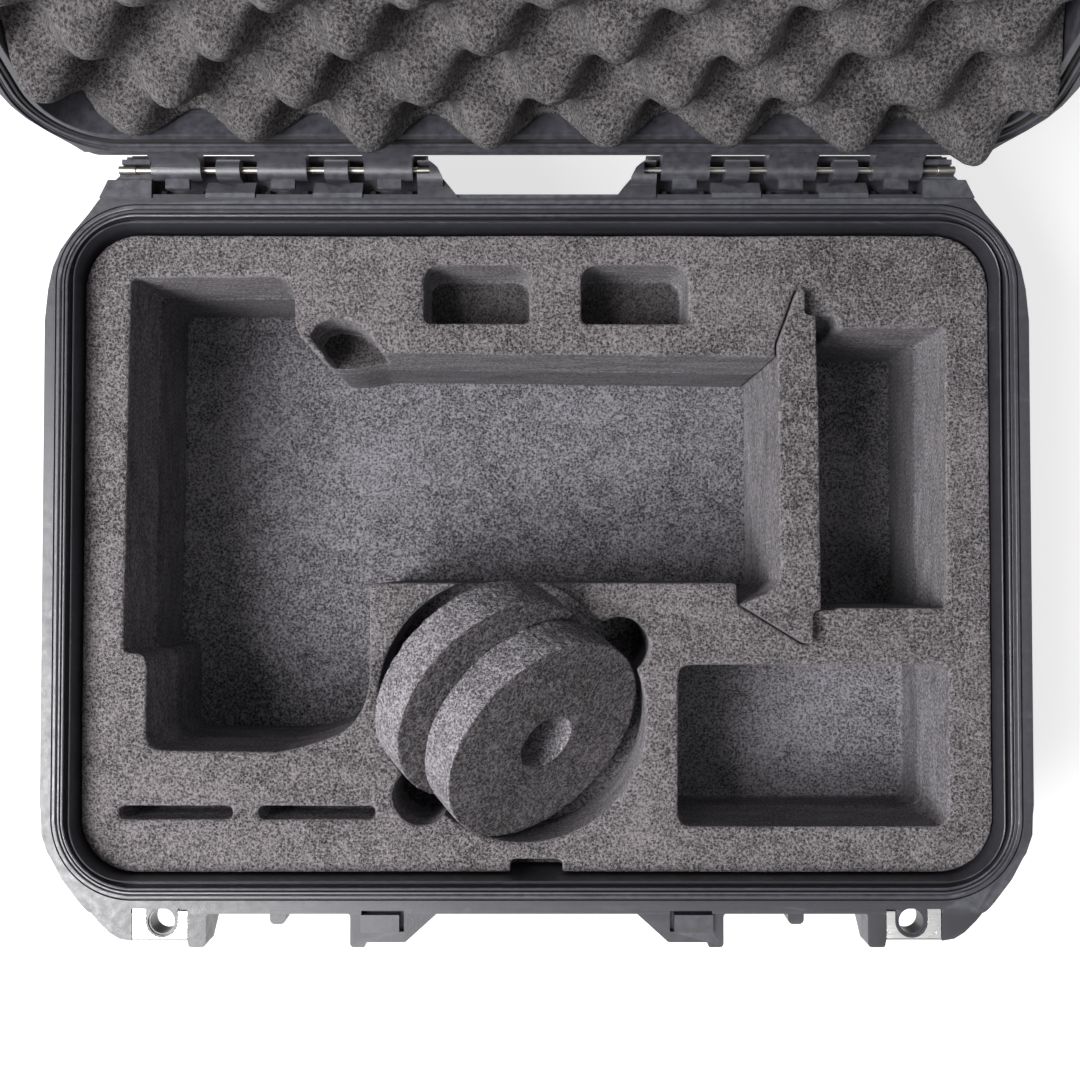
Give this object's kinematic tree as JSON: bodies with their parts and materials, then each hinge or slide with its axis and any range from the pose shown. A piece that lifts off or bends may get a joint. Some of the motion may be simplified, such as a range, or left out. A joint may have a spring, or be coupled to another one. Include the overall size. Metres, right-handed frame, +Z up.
{
  "type": "hard equipment case",
  "caption": "Rectangular moulded hard case with hinged lid, two latches, folding handle, seal and a foam insert cut with pockets, shown open.",
  "frame": {"origin": "centre of the case footprint on the floor, under the bottom rails", "axes": "+X to the right seen from the front, +Y towards the hinge side, +Z up"},
  "size_m": [0.503, 0.5604, 0.5438],
  "materials": {
    "moulded_plastic": "fine satin grain",
    "latch_plastic": "satin",
    "steel": "brushed",
    "rubber": "matt",
    "foam": "open-cell cut foam",
    "disc_foam": "open-cell cut foam"
  },
  "bodies": {
    "base": {"base_shell": "moulded_plastic", "hinge_pin_left": "steel", "hinge_pin_right": "steel", "handle_pin_left": "steel", "handle_pin_right": "steel", "base_padlock_sleeve_left": "steel", "base_padlock_sleeve_right": "steel", "valve_body": "latch_plastic"},
    "lid": {"lid_shell": "moulded_plastic", "lid_gasket": "rubber", "lid_foam": "foam", "lid_padlock_sleeve_left": "steel", "lid_padlock_sleeve_right": "steel", "latch_pin_left": "steel", "latch_pin_right": "steel"},
    "foam_insert": {"foam_bottom_pad": "foam", "foam_lower_block": "foam", "foam_upper_block": "foam"},
    "divider": {"foam_divider": "foam"},
    "disc_front": {"foam_disc_front": "disc_foam"},
    "disc_rear": {"foam_disc_rear": "disc_foam"},
    "handle": {"handle_frame": "moulded_plastic", "handle_grip": "rubber"},
    "latch_left": {"latch_body_left": "latch_plastic", "latch_trigger_pin_left": "steel"},
    "trigger_left": {"latch_trigger_left": "latch_plastic"},
    "latch_right": {"latch_body_right": "latch_plastic", "latch_trigger_pin_right": "steel"},
    "trigger_right": {"latch_trigger_right": "latch_plastic"}
  },
  "joints": [
    {"name": "lid_hinge", "type": "hinge", "parent": "base", "child": "lid", "pos_m": [0, 0.1948, 0.135], "axis": [1, 0, 0], "range_deg": [0, 108]},
    {"name": "foam_insert_lift", "type": "slide", "parent": "base", "child": "foam_insert", "axis": [0, 0, -1], "range_m": [-0.13, 0]},
    {"name": "divider_lift", "type": "slide", "parent": "foam_insert", "child": "divider", "axis": [0, 0, -1], "range_m": [-0.12, 0]},
    {"name": "disc_front_settle", "type": "hinge", "parent": "foam_insert", "child": "disc_front", "pos_m": [0.00637, -0.09743, 0.1177], "axis": [-0.6401, -0.7683, 0], "range_deg": [0, 50]},
    {"name": "disc_rear_settle", "type": "hinge", "parent": "foam_insert", "child": "disc_rear", "pos_m": [0.01782, -0.10696, 0.13425], "axis": [-0.6401, -0.7683, 0], "range_deg": [0, 50]},
    {"name": "handle_swing", "type": "hinge", "parent": "base", "child": "handle", "pos_m": [0, -0.18, 0.108], "axis": [-1, 0, 0], "range_deg": [0, 95]},
    {"name": "latch_left_swing", "type": "hinge", "parent": "lid", "child": "latch_left", "pos_m": [-0.131, 0.3305, 0.49762], "axis": [1, 0, 0], "range_deg": [0, 95]},
    {"name": "trigger_left_press", "type": "hinge", "parent": "latch_left", "child": "trigger_left", "pos_m": [-0.131, 0.34068, 0.51393], "axis": [1, 0, 0], "range_deg": [0, 8], "stiffness_Nm_per_rad": 0.15},
    {"name": "latch_right_swing", "type": "hinge", "parent": "lid", "child": "latch_right", "pos_m": [0.131, 0.3305, 0.49762], "axis": [1, 0, 0], "range_deg": [0, 95]},
    {"name": "trigger_right_press", "type": "hinge", "parent": "latch_right", "child": "trigger_right", "pos_m": [0.131, 0.34068, 0.51393], "axis": [1, 0, 0], "range_deg": [0, 8], "stiffness_Nm_per_rad": 0.15}
  ],
  "couplings": [
    {"joint": "disc_front_settle", "follows": "lid_hinge", "ratio": 0.46296},
    {"joint": "disc_rear_settle", "follows": "lid_hinge", "ratio": 0.46296}
  ]
}
